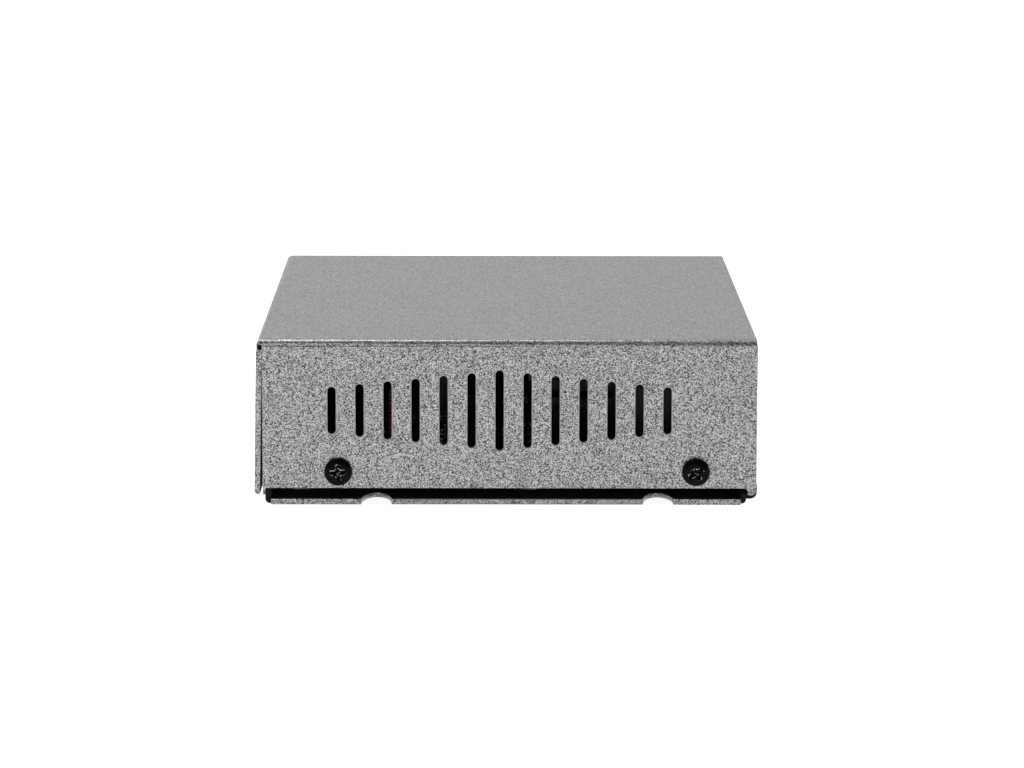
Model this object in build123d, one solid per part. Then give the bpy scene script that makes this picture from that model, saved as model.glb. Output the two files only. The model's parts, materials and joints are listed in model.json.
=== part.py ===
from build123d import *
import math
import os

os.makedirs("parts", exist_ok=True)

# The frame: X runs along the vented sides from the plain rear wall to the port wall,
# Y runs across the case, Z runs up from the face that it rests on. All sizes in mm.

# Case, over its outer faces
case_length = 90.1
case_width = 110.0
case_height = 29.9

# Folded sheet and its bends
sheet = 1.0
bend_inner = 0.2
bend_outer = sheet + bend_inner
slip_gap = 0.2

# Cover: top, two vented sides and the rear wall
cover_front_step = 0.25
side_rear_step = 1.5
side_bottom = 3.0
tab_bottom = 1.75
rear_tab = 0.45
front_tab = 1.4
tab_round = 0.8
rear_wall_bottom = 1.87
rear_wall_lean = 0.5
rear_wall_round = 0.5
corner_relief_height = 0.9
corner_relief_width = 1.5

# Vent slots: a row with its tallest slot in the middle
slot_count = 13
slot_pitch = 5.0
slot_width = 1.45
slot_tallest = 14.5
slot_step = 1.0
slot_row_x = -1.15
slot_row_z = 17.1

# Side screws
side_screw_x = (-30.0, 34.0)
side_screw_z = 6.05
side_screw_turns = (4.0, 32.0)
side_screw_radius = 1.25
side_screw_length = 5.0
side_head_radius = 2.5
side_head_height = 1.6
screw_hole_clearance = 0.2
thread_clearance = 0.03

# Tray: floor, low rear lip, joggled foot of the port wall and the port wall
tray_end_step = 1.9
tray_edge_step = 1.05
tray_bend = 0.8
joggle_rise = 0.9
joggle_bend_share = 0.9
port_wall_gap = 0.3
lip_top = 9.5
return_bottom = 3.4
rear_return_length = 17.0
front_return_length = 14.0
notch_x = (-23.2, 27.3)
notch_half_width = 2.7
notch_depth = 6.5

# Circuit board and what carries it
standoff_height = 5.0
standoff_flats = 5.0
standoff_shank_radius = 2.1
standoff_fit = 0.02
board_thickness = 1.6
board_width = 94.0
board_end_gap = 0.3
board_hole_clearance = 0.1
mount_rear_gap = 4.85
mount_front_share = 0.7
mount_edge = 3.5
screw_tip_clearance = 0.5
board_screw_radius = 1.5
board_screw_length = 5.0
board_head_radius = 2.75
board_head_height = 1.9
board_screw_turn = 20.0

# Pan heads, as shares of the head's radius and height, and their cross recess
pan_rim_height_share = 0.35
pan_shoulder_radius_share = 0.88
pan_shoulder_height_share = 0.78
pan_crown_radius_share = 0.6
pan_crown_height_share = 0.97
screw_tip_share = 0.25
cross_recess_width = 0.75
cross_recess_share = 0.62
cross_recess_depth = 0.9

# Sockets
port_pitch = 14.0
jack_side_wall = 1.65
jack_depth = 21.3
jack_height = 13.4
shield_wall = 0.3
shield_fit = 0.1
port_width = 11.9
port_height = 8.4
port_floor = 2.6
port_depth = 14.0
latch_width = 6.2
latch_height = 1.5
jack_cutout_clearance = 0.25
contact_count = 8
contact_pitch = 1.02
contact_width = 0.46
contact_thickness = 0.3
contact_root = 2.4
contact_reach = 6.5
contact_drop = 1.2
in_jack_y = -25.0
out_jack_y = 16.0
out_port_count = 4

# Indicator lamps: light guides from the board to the port wall, in one holder
lamp_radius = 1.5
lamp_clearance = 0.15
lamp_columns_y = (-43.4, -37.4)
lamp_rows = (4.0, 8.4, 12.8)
lamp_length = 22.0
lamp_holder_margin = 2.6
lamp_holder_depth = 21.0
lamp_holder_gap = 0.4

# Parts on the board. Each size is X, Y, Z. Each place is a share of the free length between
# the board's rear edge and the sockets, and Y in mm.
line_transformer_size = (12.4, 12.6, 5.6)
line_transformer_gap = 3.2
switch_chip_size = (12.0, 12.0, 1.2)
switch_chip_place = (0.6, 12.4)
thermal_pad_size = (11.0, 11.0, 0.5)
heat_sink_size = (14.0, 14.0, 8.0)
heat_sink_base = 2.0
heat_sink_fins = 6
heat_sink_fin = 0.9
power_transformer_place = (0.226, 30.0)
transformer_core_size = (18.0, 8.0, 13.0)
transformer_leg = 5.0
transformer_coil_width = 17.0
coil_leg_clearance = 0.1
choke_place = (0.343, -40.0)
choke_core_outer = 5.5
choke_core_inner = 3.2
choke_core_width = 2.6
choke_wire = 0.6
choke_gap_angle = 36.0
choke_wire_round = 0.5
power_inductor_size = (10.0, 10.0, 6.0)
power_inductor_place = (0.27, 5.0)
power_inductor_chamfer = 1.5
capacitor_radius = 4.0
capacitor_height = 11.5
capacitor_places = ((0.097, 8.0), (0.097, -2.0), (0.097, -12.0))
capacitor_round = 0.6
sleeve_wall = 0.15
rectifier_size = (8.0, 6.4, 2.5)
rectifier_places = ((0.53, -25.0), (0.53, -34.0))
controller_size = (7.5, 6.0, 1.1)
controller_places = ((0.303, -10.0), (0.303, -22.0), (0.7, -14.8))
crystal_size = (4.4, 9.4, 3.4)
crystal_round = 2.0
crystal_place = (0.3, 16.5)
surge_diode_size = (3.6, 4.4, 2.2)
surge_diode_count = 4
surge_diode_gap = 0.7
surge_diode_first_y = 22.2
surge_diode_pitch = 5.2
chip_size = (1.6, 0.9, 0.6)
chip_pitch = 2.4
chip_rows = ((0.385, -11.0), (0.385, -14.0), (0.62, -22.5), (0.62, -28.0))
chip_row_counts = (6, 6, 3, 3)

# Places worked out from the sizes above
half_length = case_length / 2
half_width = case_width / 2
cover_front_x = half_length - cover_front_step
side_rear_x = -half_length + side_rear_step
tray_end_x = half_length - tray_end_step
tray_edge_x = tray_end_x - tray_edge_step
tray_half_width = half_width - sheet - slip_gap
port_wall_top = case_height - sheet - port_wall_gap
board_bottom = sheet + standoff_height
board_top = board_bottom + board_thickness
board_rear_x = -tray_end_x + sheet + board_end_gap
board_front_x = half_length - sheet - board_end_gap
jack_rear_x = half_length - jack_depth
free_board_length = jack_rear_x - board_rear_x
mount_y = board_width / 2 - mount_edge
line_transformer_x = jack_rear_x - line_transformer_gap - line_transformer_size[0] / 2
surge_diode_x = (
    line_transformer_x - (line_transformer_size[0] + surge_diode_size[0]) / 2 - surge_diode_gap
)
port_bottom = board_top + port_floor
port_top = port_bottom + port_height
single_jack_width = port_width + 2 * (jack_side_wall + shield_wall + shield_fit)
BOTTOM = (Align.CENTER, Align.CENTER, Align.MIN)


def block(x_range, y_range, z_range):
    """A plain block between two limits along each axis."""
    size = [high - low for low, high in (x_range, y_range, z_range)]
    middle = [(high + low) / 2 for low, high in (x_range, y_range, z_range)]
    return Pos(*middle) * Box(*size)


def bent_u(width, outer_end, open_end):
    """Section of a sheet bent to a U, closed at outer_end, in the sketch's own x and y."""
    inner_end = outer_end - math.copysign(sheet, outer_end - open_end)
    outer = Pos(0, (outer_end + open_end) / 2) * Rectangle(width, abs(outer_end - open_end))
    inner = Pos(0, (inner_end + open_end) / 2) * Rectangle(
        width - 2 * sheet, abs(inner_end - open_end)
    )
    outer_corners = [v for v in outer.vertices() if abs(v.Y - outer_end) < sheet / 10]
    inner_corners = [v for v in inner.vertices() if abs(v.Y - inner_end) < sheet / 10]
    return fillet(outer_corners, bend_outer) - fillet(inner_corners, bend_inner)


def along_board(share):
    """X at a share of the free length between the board's rear edge and the sockets."""
    return board_rear_x + share * free_board_length


def corner_at(sketch, x, y):
    """The sketch's corner nearest a point."""
    return min(sketch.vertices(), key=lambda v: math.hypot(v.X - x, v.Y - y))


def cover_side_outline():
    """Side view of a vented side: a plain panel with a short tab at each lower corner."""
    panel_points = [
        (side_rear_x, tab_bottom),
        (cover_front_x, tab_bottom),
        (cover_front_x, case_height),
        (side_rear_x, case_height),
    ]
    panel = make_face(Polyline(*panel_points, close=True))
    panel = fillet(corner_at(panel, cover_front_x, tab_bottom), tab_round)
    recess_rear = side_rear_x + rear_tab
    recess_front = cover_front_x - front_tab
    recess_bottom = tab_bottom - sheet
    recess = Pos((recess_rear + recess_front) / 2, (side_bottom + recess_bottom) / 2) * Rectangle(
        recess_front - recess_rear, side_bottom - recess_bottom
    )
    recess = fillet(corner_at(recess, recess_front, side_bottom), tab_round)
    return panel - recess


def rear_wall_section():
    """Side view of the top sheet bent down into the rear wall, which leans out a little."""
    points = [
        (cover_front_x, case_height),
        (-half_length + rear_wall_lean, case_height),
        (-half_length, rear_wall_bottom),
        (-half_length + sheet, rear_wall_bottom),
        (-half_length + rear_wall_lean + sheet, case_height - sheet),
        (cover_front_x, case_height - sheet),
    ]
    section = make_face(Polyline(*points, close=True))
    section = fillet(corner_at(section, *points[1]), bend_outer)
    section = fillet(corner_at(section, *points[2]), rear_wall_round)
    return fillet(corner_at(section, *points[4]), bend_inner)


def slot_length(index):
    return slot_tallest - slot_step * abs(index - (slot_count - 1) / 2)


def slot_x(index):
    return slot_row_x + slot_pitch * (index - (slot_count - 1) / 2)


def make_top_cover():
    through = case_width
    sides = extrude(Plane.YZ * bent_u(case_width, case_height, tab_bottom), case_length, both=True)
    sides &= extrude(Plane.XZ * cover_side_outline(), through, both=True)
    rear = extrude(Plane.XZ * rear_wall_section(), half_width, both=True)
    envelope = Pos(0, case_height / 2) * Rectangle(case_width, case_height)
    envelope = fillet(envelope.vertices().group_by(Axis.Y)[-1], bend_outer)
    cover = (sides + rear) & extrude(Plane.YZ * envelope, case_length, both=True)
    relief_top = case_height - sheet
    for side in (-1, 1):
        relief_y = sorted((side * (half_width - corner_relief_width), side * case_width))
        cover -= block(
            (-case_length, side_rear_x), relief_y, (relief_top - corner_relief_height, relief_top)
        )
    slots = Sketch() + [
        Pos(slot_x(i), slot_row_z) * SlotOverall(slot_length(i), slot_width, rotation=90)
        for i in range(slot_count)
    ]
    cover -= extrude(Plane.XZ * slots, through, both=True)
    holes = Sketch() + [
        Pos(x, side_screw_z) * Circle(side_screw_radius + screw_hole_clearance)
        for x in side_screw_x
    ]
    return cover - extrude(Plane.XZ * holes, through, both=True)


def tray_section():
    """Side view of the tray's strip: rear lip, floor, joggle and port wall."""
    points = [
        (-tray_end_x, lip_top),
        (-tray_end_x, 0),
        (tray_end_x, 0),
        (tray_end_x, joggle_rise),
        (half_length, joggle_rise),
        (half_length, port_wall_top),
        (half_length - sheet, port_wall_top),
        (half_length - sheet, joggle_rise + sheet),
        (tray_end_x - sheet, joggle_rise + sheet),
        (tray_end_x - sheet, sheet),
        (-tray_end_x + sheet, sheet),
        (-tray_end_x + sheet, lip_top),
    ]
    section = make_face(Polyline(*points, close=True))
    joggle_bend = min(tray_bend, joggle_bend_share * joggle_rise)
    for index, radius in ((1, tray_bend), (2, joggle_bend), (4, bend_outer), (8, joggle_bend)):
        section = fillet(corner_at(section, *points[index]), radius)
    for index in (7, 10):
        section = fillet(corner_at(section, *points[index]), bend_inner)
    return section


def end_return(end_x, length, top):
    """An end wall's side edges, bent back along the cover's sides."""
    inward = -math.copysign(length, end_x)
    plan = bent_u(2 * tray_half_width, end_x, end_x + inward)
    turned = Plane.XY.offset(return_bottom) * Rot(0, 0, -90) * plan
    return extrude(turned, top - return_bottom)


def socket_opening(port_count, jack_y, bottom, top, clearance):
    """The cut in the port wall around one socket block."""
    half = jack_width(port_count) / 2 + clearance
    return block((jack_rear_x, case_length), (jack_y - half, jack_y + half), (bottom, top))


def jack_width(port_count):
    return single_jack_width + port_pitch * (port_count - 1)


def lamp_places():
    return [(y, board_top + rise) for y in lamp_columns_y for rise in lamp_rows]


def make_base_tray():
    strip = extrude(Plane.XZ * tray_section(), tray_half_width, both=True)
    above = (return_bottom, case_height)
    bend_y = tray_half_width - bend_outer
    for side in (-1, 1):
        edge = sorted((side * bend_y, side * case_width))
        strip -= block((-case_length, case_length), edge, above)
    tray = strip + block((-tray_edge_x, tray_edge_x), (-half_width, half_width), (0, sheet))
    tray += end_return(-tray_end_x, rear_return_length, lip_top)
    tray += end_return(half_length, front_return_length, port_wall_top)
    for x in notch_x:
        for side in (-1, 1):
            oval = Pos(x, side * half_width) * Ellipse(notch_half_width, notch_depth)
            tray -= extrude(oval, sheet * 2, both=True)
    for x, y in mount_places():
        tray -= Pos(x, y, sheet / 2) * Cylinder(standoff_shank_radius + standoff_fit, 2 * sheet)
    thread = Sketch() + [
        Pos(x, side_screw_z) * Circle(side_screw_radius + thread_clearance) for x in side_screw_x
    ]
    tray -= extrude(Plane.XZ * thread, case_width, both=True)
    bottom = board_top - jack_cutout_clearance
    top = board_top + jack_height + jack_cutout_clearance
    tray -= socket_opening(1, in_jack_y, bottom, top, jack_cutout_clearance)
    tray -= socket_opening(out_port_count, out_jack_y, bottom, top, jack_cutout_clearance)
    lamp_hole = Rot(0, 90, 0) * Cylinder(lamp_radius + lamp_clearance, 4 * sheet)
    for y, z in lamp_places():
        tray -= Pos(half_length, y, z) * lamp_hole
    return tray


def mount_places():
    rows = (board_rear_x + mount_rear_gap, along_board(mount_front_share))
    return [(x, side * mount_y) for x in rows for side in (-1, 1)]


def pan_screw(radius, length, head_radius, head_height, turn):
    """Pan head screw along Z with its head up and its seat at z = 0."""
    rim = (head_radius, head_height * pan_rim_height_share)
    shoulder = (head_radius * pan_shoulder_radius_share, head_height * pan_shoulder_height_share)
    crown = (head_radius * pan_crown_radius_share, head_height * pan_crown_height_share)
    top = (0, head_height)
    profile = make_face(
        Line((0, 0), (head_radius, 0))
        + Line((head_radius, 0), rim)
        + ThreePointArc(rim, shoulder, crown)
        + ThreePointArc(crown, (crown[0] / 2, head_height), top)
        + Line(top, (0, 0))
    )
    head = revolve(Plane.XZ * profile, Axis.Z)
    arm = 2 * head_radius * cross_recess_share
    for angle in (turn, turn + 90):
        head -= Pos(0, 0, head_height) * Rot(0, 0, angle) * Box(
            arm, cross_recess_width, 2 * cross_recess_depth
        )
    shank = Pos(0, 0, -length) * Cylinder(radius, length, align=BOTTOM)
    shank = chamfer(shank.faces().sort_by(Axis.Z)[0].edges(), radius * screw_tip_share)
    return head + shank


def make_side_screws():
    screws = []
    for x, turn in zip(side_screw_x, side_screw_turns):
        for side in (-1, 1):
            screw = pan_screw(
                side_screw_radius, side_screw_length, side_head_radius, side_head_height, turn
            )
            screws.append(Pos(x, side * half_width, side_screw_z) * Rot(-side * 90, 0, 0) * screw)
    return screws


def make_board_screws():
    return [
        Pos(x, y, board_top)
        * pan_screw(
            board_screw_radius,
            board_screw_length,
            board_head_radius,
            board_head_height,
            board_screw_turn,
        )
        for x, y in mount_places()
    ]


def make_board_standoffs():
    hexagon = RegularPolygon(standoff_flats / 2, 6, major_radius=False)
    body = extrude(Plane.XY.offset(sheet) * hexagon, standoff_height)
    body += Cylinder(standoff_shank_radius, sheet, align=BOTTOM)
    body -= Cylinder(board_screw_radius + thread_clearance, 2 * board_bottom)
    return [Pos(x, y, 0) * body for x, y in mount_places()]


def make_circuit_board():
    edge = board_width / 2
    board = block((board_rear_x, board_front_x), (-edge, edge), (board_bottom, board_top))
    for x, y in mount_places():
        board -= Pos(x, y, board_top) * Cylinder(
            board_screw_radius + board_hole_clearance, 4 * board_thickness
        )
    tip_y = half_width - side_screw_length - screw_tip_clearance
    tip_room = side_screw_radius + screw_tip_clearance
    for x in side_screw_x:
        tips = Pos(x, 0, side_screw_z) * Rot(90, 0, 0) * Cylinder(tip_room, case_width)
        board -= tips - block((x - case_width, x + case_width), (-tip_y, tip_y), (0, case_height))
    return board


def port_places(port_count, jack_y):
    return [jack_y + port_pitch * (i - (port_count - 1) / 2) for i in range(port_count)]


def port_cavity(y, front_x):
    """The hollow that takes a plug, with the slot for its latch below."""
    rear_x = half_length - port_depth
    half_port = port_width / 2
    half_latch = latch_width / 2
    cavity = block((rear_x, front_x), (y - half_port, y + half_port), (port_bottom, port_top))
    return cavity + block(
        (rear_x, front_x), (y - half_latch, y + half_latch), (port_bottom - latch_height, port_top)
    )


def make_jack_shield(port_count, jack_y):
    half = jack_width(port_count) / 2
    inner = half - shield_wall
    top = board_top + jack_height
    shell = block((jack_rear_x, half_length), (jack_y - half, jack_y + half), (board_top, top))
    shell -= block(
        (jack_rear_x + shield_wall, half_length - shield_wall),
        (jack_y - inner, jack_y + inner),
        (board_top - shield_wall, top - shield_wall),
    )
    for y in port_places(port_count, jack_y):
        shell -= port_cavity(y, case_length)
    return shell


def make_jack_housing(port_count, jack_y):
    half = jack_width(port_count) / 2 - shield_wall - shield_fit
    top = board_top + jack_height - shield_wall - shield_fit
    rear_x = jack_rear_x + shield_wall + shield_fit
    front_x = half_length - shield_wall - shield_fit
    body = block((rear_x, front_x), (jack_y - half, jack_y + half), (board_top, top))
    for y in port_places(port_count, jack_y):
        body -= port_cavity(y, case_length)
    return body


def make_jack_contacts(port_count, jack_y):
    root_x = half_length - contact_root
    tip_x = root_x - contact_reach
    tip_top = port_top - contact_drop
    points = [
        (root_x, port_top),
        (root_x - 4 * contact_thickness, port_top),
        (tip_x, tip_top),
        (tip_x, tip_top - contact_thickness),
    ]
    blade = extrude(
        Plane.XZ * make_face(Polyline(*points, close=True)), contact_width / 2, both=True
    )
    return [
        Pos(0, y + contact_pitch * (i - (contact_count - 1) / 2), 0) * blade
        for y in port_places(port_count, jack_y)
        for i in range(contact_count)
    ]


def make_lamp_holder():
    front_x = half_length - sheet - lamp_holder_gap
    low_y = min(lamp_columns_y) - lamp_holder_margin
    high_y = max(lamp_columns_y) + lamp_holder_margin
    top = board_top + max(lamp_rows) + lamp_holder_margin
    holder = block((front_x - lamp_holder_depth, front_x), (low_y, high_y), (board_top, top))
    bore = lamp_radius + standoff_fit
    rear_x = half_length - lamp_length
    for y, z in lamp_places():
        holder -= Pos(rear_x, y, z) * Rot(0, 90, 0) * Cylinder(bore, case_length, align=BOTTOM)
    return holder


def make_indicator_lamps():
    barrel = lamp_length - lamp_radius
    lamp = Cylinder(lamp_radius, barrel, align=BOTTOM)
    dome = Pos(0, 0, barrel) * Sphere(lamp_radius)
    lamp += dome
    rear_x = half_length - lamp_length
    return [Pos(rear_x, y, z) * Rot(0, 90, 0) * lamp for y, z in lamp_places()]


def at_point(size, x, y, lift=0.0):
    """A block of the given size that stands on the board, or lift above it."""
    return Pos(x, y, board_top + lift) * Box(*size, align=BOTTOM)


def on_board(size, place, lift=0.0):
    """The same, placed by its share of the board's free length and its Y."""
    return at_point(size, along_board(place[0]), place[1], lift)


def make_line_transformers():
    rows = [in_jack_y] + port_places(out_port_count, out_jack_y)
    return [at_point(line_transformer_size, line_transformer_x, y) for y in rows]


def make_heat_sink():
    lift = switch_chip_size[2] + thermal_pad_size[2]
    sink = on_board(heat_sink_size, switch_chip_place, lift)
    pitch = (heat_sink_size[1] - heat_sink_fin) / (heat_sink_fins - 1)
    groove = (heat_sink_size[0], pitch - heat_sink_fin, heat_sink_size[2])
    first = switch_chip_place[1] - heat_sink_size[1] / 2 + heat_sink_fin / 2 + pitch / 2
    for i in range(heat_sink_fins - 1):
        place = (switch_chip_place[0], first + i * pitch)
        sink -= on_board(groove, place, lift + heat_sink_base)
    return sink


def make_transformer_core():
    """A closed ferrite frame round the coil, with a leg through its middle."""
    core_x, core_y, core_z = transformer_core_size
    wall = transformer_leg / 2
    core = on_board((core_x + 2 * wall, core_y, core_z), power_transformer_place)
    window = (core_x, core_y, core_z - 2 * wall)
    core -= on_board(window, power_transformer_place, wall)
    leg = (transformer_leg, core_y, core_z - 2 * wall)
    return core + on_board(leg, power_transformer_place, wall)


def make_transformer_coil():
    coil = on_board(
        (transformer_coil_width, transformer_coil_width, transformer_window_height()),
        power_transformer_place,
        transformer_leg / 2 + coil_leg_clearance,
    )
    coil = fillet(coil.edges().filter_by(Axis.Z), transformer_leg / 2)
    hole = (
        transformer_leg + 2 * coil_leg_clearance,
        transformer_core_size[1] + 2 * coil_leg_clearance,
        transformer_core_size[2],
    )
    return coil - on_board(hole, power_transformer_place)


def transformer_window_height():
    return transformer_core_size[2] - transformer_leg - 2 * coil_leg_clearance


def ring_section(outer, inner, width):
    return Pos((outer + inner) / 2, 0) * Rectangle(outer - inner, width)


def choke_location():
    lift = choke_core_outer + choke_wire
    return Pos(along_board(choke_place[0]), choke_place[1], board_top + lift) * Rot(0, 90, 0)


def make_choke_core():
    section = ring_section(choke_core_outer, choke_core_inner, choke_core_width)
    return choke_location() * revolve(Plane.XZ * section, Axis.Z)


def make_choke_winding():
    around = ring_section(
        choke_core_outer + choke_wire, choke_core_inner - choke_wire, choke_core_width + 2 * choke_wire
    )
    around = fillet(around.vertices(), choke_wire_round)
    around -= ring_section(choke_core_outer, choke_core_inner, choke_core_width)
    wound = revolve(Plane.XZ * around, Axis.Z, revolution_arc=360 - choke_gap_angle)
    return choke_location() * Rot(0, 0, 90 + choke_gap_angle / 2) * wound


def capacitor_body(radius, height):
    can = Cylinder(radius, height, align=BOTTOM)
    return fillet(can.edges().group_by(Axis.Z)[-1], capacitor_round)


def make_capacitor_cans():
    can = capacitor_body(capacitor_radius, capacitor_height)
    return [Pos(along_board(share), y, board_top) * can for share, y in capacitor_places]


def make_capacitor_sleeves():
    """The printed film shrunk round each can, open over the can's top."""
    height = capacitor_height - capacitor_round
    sleeve = Cylinder(capacitor_radius + sleeve_wall, height, align=BOTTOM)
    sleeve -= Cylinder(capacitor_radius, 3 * capacitor_height)
    return [Pos(along_board(share), y, board_top) * sleeve for share, y in capacitor_places]


def make_crystal_can():
    can = on_board(crystal_size, crystal_place)
    return fillet(can.edges().filter_by(Axis.Z), crystal_round)


def make_power_inductor():
    body = on_board(power_inductor_size, power_inductor_place)
    return chamfer(body.edges().filter_by(Axis.Z), power_inductor_chamfer)


def make_surge_diodes():
    return [
        at_point(surge_diode_size, surge_diode_x, surge_diode_first_y + i * surge_diode_pitch)
        for i in range(surge_diode_count)
    ]


def make_chip_parts():
    return [
        at_point(chip_size, along_board(start) + i * chip_pitch, y)
        for (start, y), count in zip(chip_rows, chip_row_counts)
        for i in range(count)
    ]


def write(name, shape):
    """One STEP file for each piece, or for each group of like pieces."""
    solids = shape if isinstance(shape, list) else [shape]
    whole = solids[0] if len(solids) == 1 else Compound(children=solids)
    export_step(whole, f"parts/{name}.step")


def main():
    write("top_cover", make_top_cover())
    write("base_tray", make_base_tray())
    write("side_screws", make_side_screws())
    write("board_standoffs", make_board_standoffs())
    write("board_screws", make_board_screws())
    write("circuit_board", make_circuit_board())
    for name, count, y in (("in", 1, in_jack_y), ("out", out_port_count, out_jack_y)):
        write(f"{name}_jack_shield", make_jack_shield(count, y))
        write(f"{name}_jack_housing", make_jack_housing(count, y))
        write(f"{name}_jack_contacts", make_jack_contacts(count, y))
    write("lamp_holder", make_lamp_holder())
    write("indicator_lamps", make_indicator_lamps())
    write("line_transformers", make_line_transformers())
    write("switch_chip", on_board(switch_chip_size, switch_chip_place))
    write("thermal_pad", on_board(thermal_pad_size, switch_chip_place, switch_chip_size[2]))
    write("heat_sink", make_heat_sink())
    write("power_transformer_core", make_transformer_core())
    write("power_transformer_coil", make_transformer_coil())
    write("choke_core", make_choke_core())
    write("choke_winding", make_choke_winding())
    write("power_inductor", make_power_inductor())
    write("capacitor_cans", make_capacitor_cans())
    write("capacitor_sleeves", make_capacitor_sleeves())
    write("bridge_rectifiers", [on_board(rectifier_size, place) for place in rectifier_places])
    write("controller_chips", [on_board(controller_size, place) for place in controller_places])
    write("crystal_can", make_crystal_can())
    write("surge_diodes", make_surge_diodes())
    write("chip_parts", make_chip_parts())


main()
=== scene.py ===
import json
import math

import bmesh
import bpy
from bpy.props import FloatProperty, FloatVectorProperty, IntProperty, PointerProperty
from mathutils import Matrix, Vector
from mathutils.bvhtree import BVHTree


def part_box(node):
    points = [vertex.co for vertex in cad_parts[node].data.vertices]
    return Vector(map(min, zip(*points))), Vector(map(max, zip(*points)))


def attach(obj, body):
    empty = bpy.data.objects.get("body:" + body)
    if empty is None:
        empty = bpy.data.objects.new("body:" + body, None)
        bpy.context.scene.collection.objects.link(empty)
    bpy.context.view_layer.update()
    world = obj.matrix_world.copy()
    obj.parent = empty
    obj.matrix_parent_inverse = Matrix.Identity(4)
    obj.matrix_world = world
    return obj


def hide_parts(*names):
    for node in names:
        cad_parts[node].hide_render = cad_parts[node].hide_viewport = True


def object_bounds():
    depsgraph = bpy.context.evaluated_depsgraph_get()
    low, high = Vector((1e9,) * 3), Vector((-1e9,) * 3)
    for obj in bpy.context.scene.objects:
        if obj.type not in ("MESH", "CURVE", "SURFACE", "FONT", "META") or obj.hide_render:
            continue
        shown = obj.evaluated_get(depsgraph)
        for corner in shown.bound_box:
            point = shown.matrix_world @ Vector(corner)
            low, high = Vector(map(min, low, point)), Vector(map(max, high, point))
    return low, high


bl_info = {
    "name": "Power extender case",
    "version": (1, 0, 0),
    "blender": (4, 5, 0),
    "location": "View3D > Sidebar > Extender",
    "description": "Dresses the vented case of a power over ethernet extender and what is inside it",
    "category": "Object",
}

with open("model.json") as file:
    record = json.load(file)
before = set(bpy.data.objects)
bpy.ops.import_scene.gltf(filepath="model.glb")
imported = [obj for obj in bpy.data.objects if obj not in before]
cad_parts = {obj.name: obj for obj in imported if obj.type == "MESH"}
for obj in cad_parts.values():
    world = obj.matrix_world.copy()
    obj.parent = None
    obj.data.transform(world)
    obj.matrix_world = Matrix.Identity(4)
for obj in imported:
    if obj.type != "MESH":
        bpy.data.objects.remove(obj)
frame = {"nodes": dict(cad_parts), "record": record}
cad_low, cad_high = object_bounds()
cover_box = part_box("top_cover")
for plain in list(bpy.data.materials):
    bpy.data.materials.remove(plain)

MM = 0.001
WELD = 0.002 * MM
BODY = "root"
PANEL_TAB = "Extender"

# The camera: a long lens, a little above the case, square to the vented side
IMAGE_WIDTH = 1024
FOCAL_PIXELS = 3987.0
SENSOR_WIDTH = 36.0
CAMERA_PLACE = (-2.53 * MM, -756.0 * MM, 141.35 * MM)
CAMERA_PITCH = math.radians(9.667)
CAMERA_YAW = math.radians(0.293)
CAMERA_ROLL = math.radians(0.13)
CLIP_NEAR = 0.05
CLIP_FAR = 100.0

# Faces this close to an axis are flat, and faces that turn less than this run on smoothly
FLAT_LIMIT = 0.9995
SMOOTH_LIMIT = math.cos(math.radians(50))

# The folded sheet, and how far off a face its side is tested for being inside the case
SHEET = 1.0 * MM
PROBE = 0.5 * MM
EDGE_SLACK = 0.1 * MM
FOOT_TOP = 4.0 * MM
FOOT_LENGTH = 3.2 * MM

# Edges sharper than this are rounded, and faces that meet at less than the other are one face
EDGE_ANGLE = math.radians(38)
SAME_FACE_ANGLE = math.radians(0.2)

# Screws. The crown's bulge goes from square at 0 to a half round at 1
SIDE_HEAD_RADIUS = 2.5 * MM
SIDE_HEAD_HEIGHT = 1.6 * MM
SIDE_SHANK_RADIUS = 1.25 * MM
SIDE_SCREW_LENGTH = 5.0 * MM
SIDE_SCREW_TURNS = (math.radians(4), math.radians(32))
BOARD_HEAD_RADIUS = 2.75 * MM
BOARD_HEAD_HEIGHT = 1.9 * MM
BOARD_SHANK_RADIUS = 1.5 * MM
BOARD_SCREW_TURN = math.radians(20)
HEAD_EDGE = 0.12 * MM
CROWN_BULGE = 0.55
CROWN_FOOT_SHARE = 0.42
CROWN_STEPS = 8
TIP_SHARE = 0.7
TIP_LENGTH = 0.36 * MM
RECESS_TAPER = 0.4
RECESS_LENGTH_SHARE = 1.25
RECESS_WIDTH_SHARE = 0.34
RECESS_ROUND = 0.06 * MM
SCREW_SMOOTH_ANGLE = math.radians(40)

# The choke's ring: its hole as a share of its radius, and the angle that is left bare
CHOKE_HOLE_SHARE = 0.582
CHOKE_GAP = math.radians(36)
WIRE_STEPS = 28
WIRE_SIDES = 8
WIRE_SQUARENESS = 8.0

# Tinned ends of the small parts
CAP_LENGTH = 0.36 * MM
CAP_SKIN = 0.03 * MM
CAP_ROUND = 0.11 * MM

# Leads of the chips: node, the axis that they point along, how many on a side, their pitch,
# their width and the height at which they leave the body
LEADS = (
    ("controller_chips", "Y", 6, 1.2 * MM, 0.42 * MM, 0.55 * MM),
    ("bridge_rectifiers", "X", 2, 3.8 * MM, 1.3 * MM, 1.1 * MM),
    ("line_transformers", "X", 8, 1.4 * MM, 0.5 * MM, 0.9 * MM),
    ("switch_chip", "X", 20, 0.5 * MM, 0.22 * MM, 0.5 * MM),
    ("switch_chip", "Y", 20, 0.5 * MM, 0.22 * MM, 0.5 * MM),
)
LEAD_THICKNESS = 0.16 * MM
LEAD_REACH = 0.95 * MM
LEAD_SINK = 0.05 * MM

# A rounding has left the sheet when it is this many widths away; the edges near it then stay sharp
STRAY_REACH = 1.6
STRAY_SHARE = 1.4
STRAY_ROOM = 0.6 * MM
STRAY_ROUNDS = 8

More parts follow.
